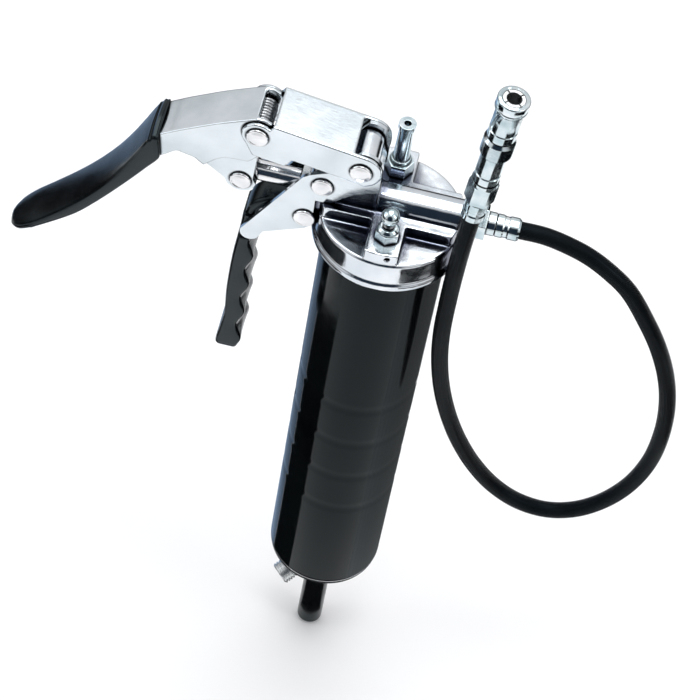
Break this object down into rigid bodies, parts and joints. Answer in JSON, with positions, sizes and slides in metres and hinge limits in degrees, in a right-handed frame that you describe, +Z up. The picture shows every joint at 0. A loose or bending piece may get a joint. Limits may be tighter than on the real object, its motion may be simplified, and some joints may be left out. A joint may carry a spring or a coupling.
{
  "type": "grease gun",
  "caption": "Lever grease gun: black cartridge barrel, chromed pump head with linked squeeze handle and finger grip, filler and bleeder valves, and a hose with a grease coupler.",
  "frame": {"origin": "on the barrel axis, where the barrel leaves the head's collar", "axes": "+Z up along the barrel from the end cap to the head; +X from the handle towards the outlet; -Y the side with the bleeder valve"},
  "size_m": [0.321, 0.068, 0.4572],
  "materials": {
    "barrel_paint": "gloss black stoved enamel",
    "chrome_casting": "bright chrome over a cast head",
    "chrome_sheet": "bright chrome over pressed sheet",
    "polished_rivet": "polished steel",
    "plated_fitting": "bright zinc plate, turned",
    "plated_steel": "zinc-plated steel",
    "spring_steel": "drawn wire",
    "black_rubber": "moulded nitrile rubber",
    "grip_plastic": "black dipped vinyl, satin gloss",
    "hose_rubber": "black rubber hose cover with a fine cloth print"
  },
  "bodies": {
    "barrel": {"barrel_tube": "barrel_paint", "end_cap": "barrel_paint", "follower_spring": "spring_steel", "lock_bracket": "plated_steel", "lock_spring": "spring_steel"},
    "lock": {"lock_lever": "plated_steel", "lock_button": "plated_steel"},
    "rod": {"follower_rod": "plated_steel", "rod_grip": "grip_plastic", "follower_plate": "plated_steel", "follower_seal": "black_rubber", "rod_nut": "plated_steel"},
    "head": {"head_casting": "chrome_casting", "barrel_gasket": "black_rubber", "grip_bracket": "chrome_sheet", "grip_core": "plated_steel", "finger_grip": "grip_plastic", "tower_rivet": "polished_rivet", "lug_rivet": "polished_rivet", "link_pin": "polished_rivet", "gland_nut": "plated_steel", "plunger_packing": "black_rubber", "filler_body": "plated_fitting", "filler_spring": "spring_steel", "bleeder_body": "plated_fitting", "bleeder_spring": "spring_steel", "outlet_adapter": "plated_fitting", "hose_ferrule": "plated_fitting", "hose": "hose_rubber", "coupler_ferrule": "plated_fitting", "coupler_adapter": "plated_fitting", "coupler_body": "plated_fitting", "coupler_seal": "black_rubber", "coupler_jaws": "plated_steel"},
    "filler_check": {"filler_ball": "polished_rivet"},
    "bleeder": {"bleeder_valve": "plated_fitting"},
    "outlet_check": {"outlet_ball": "polished_rivet", "outlet_spring": "spring_steel"},
    "sleeve": {"coupler_sleeve": "plated_fitting"},
    "plunger": {"plunger": "polished_rivet"},
    "link": {"link_channel": "chrome_sheet", "handle_pin": "polished_rivet", "return_spring": "spring_steel"},
    "handle": {"handle_channel": "chrome_sheet", "handle_lugs": "chrome_sheet", "plunger_pin": "polished_rivet", "palm_grip": "grip_plastic"}
  },
  "joints": [
    {"name": "head_unscrew", "type": "hinge", "parent": "barrel", "child": "head", "pos_m": [0, 0, 0], "axis": [0, 0, 1], "range_deg": [0, 900]},
    {"name": "rod_pull", "type": "slide", "parent": "barrel", "child": "rod", "axis": [0, 0, -1], "range_m": [0, 0.185], "stiffness_N_per_m": 250, "springref_m": -0.06, "deforming": ["follower_spring"]},
    {"name": "lock_tilt", "type": "hinge", "parent": "barrel", "child": "lock", "pos_m": [0.01068, 0.00996, -0.265], "axis": [-0.682, 0.7314, 0], "range_deg": [0, 5], "stiffness_Nm_per_rad": 0.4, "springref_deg": -5.73, "deforming": ["lock_spring"]},
    {"name": "link_swing", "type": "hinge", "parent": "head", "child": "link", "pos_m": [-0.0155, 0, 0.0496], "axis": [0, -1, 0], "range_deg": [-0.1, 0.5]},
    {"name": "handle_squeeze", "type": "hinge", "parent": "link", "child": "handle", "pos_m": [-0.0618, 0, 0.057], "axis": [0, -1, 0], "range_deg": [0, 22], "stiffness_Nm_per_rad": 0.8, "springref_deg": -20.05},
    {"name": "plunger_stroke", "type": "slide", "parent": "head", "child": "plunger", "axis": [1, 0, 0], "range_m": [-0.0005, 0.0145]},
    {"name": "filler_press", "type": "slide", "parent": "head", "child": "filler_check", "axis": [0, 0, -1], "range_m": [0, 0.003], "stiffness_N_per_m": 100, "springref_m": -0.004, "deforming": ["filler_spring"]},
    {"name": "bleeder_press", "type": "slide", "parent": "head", "child": "bleeder", "axis": [0, 0, -1], "range_m": [0, 0.0015], "stiffness_N_per_m": 300, "springref_m": -0.004, "deforming": ["bleeder_spring"]},
    {"name": "outlet_open", "type": "slide", "parent": "head", "child": "outlet_check", "axis": [1, 0, 0], "range_m": [0, 0.0025], "stiffness_N_per_m": 100, "springref_m": -0.004},
    {"name": "coupler_turn", "type": "hinge", "parent": "head", "child": "sleeve", "pos_m": [0.035, -0.018, 0.046], "axis": [0.0698, 0, 0.9976], "range_deg": [0, 360]}
  ],
  "couplings": [
    {"joint": "link_swing", "follows": "handle_squeeze", "ratio": 0.0125},
    {"joint": "plunger_stroke", "follows": "handle_squeeze", "m_per_rad": 0.0356}
  ]
}
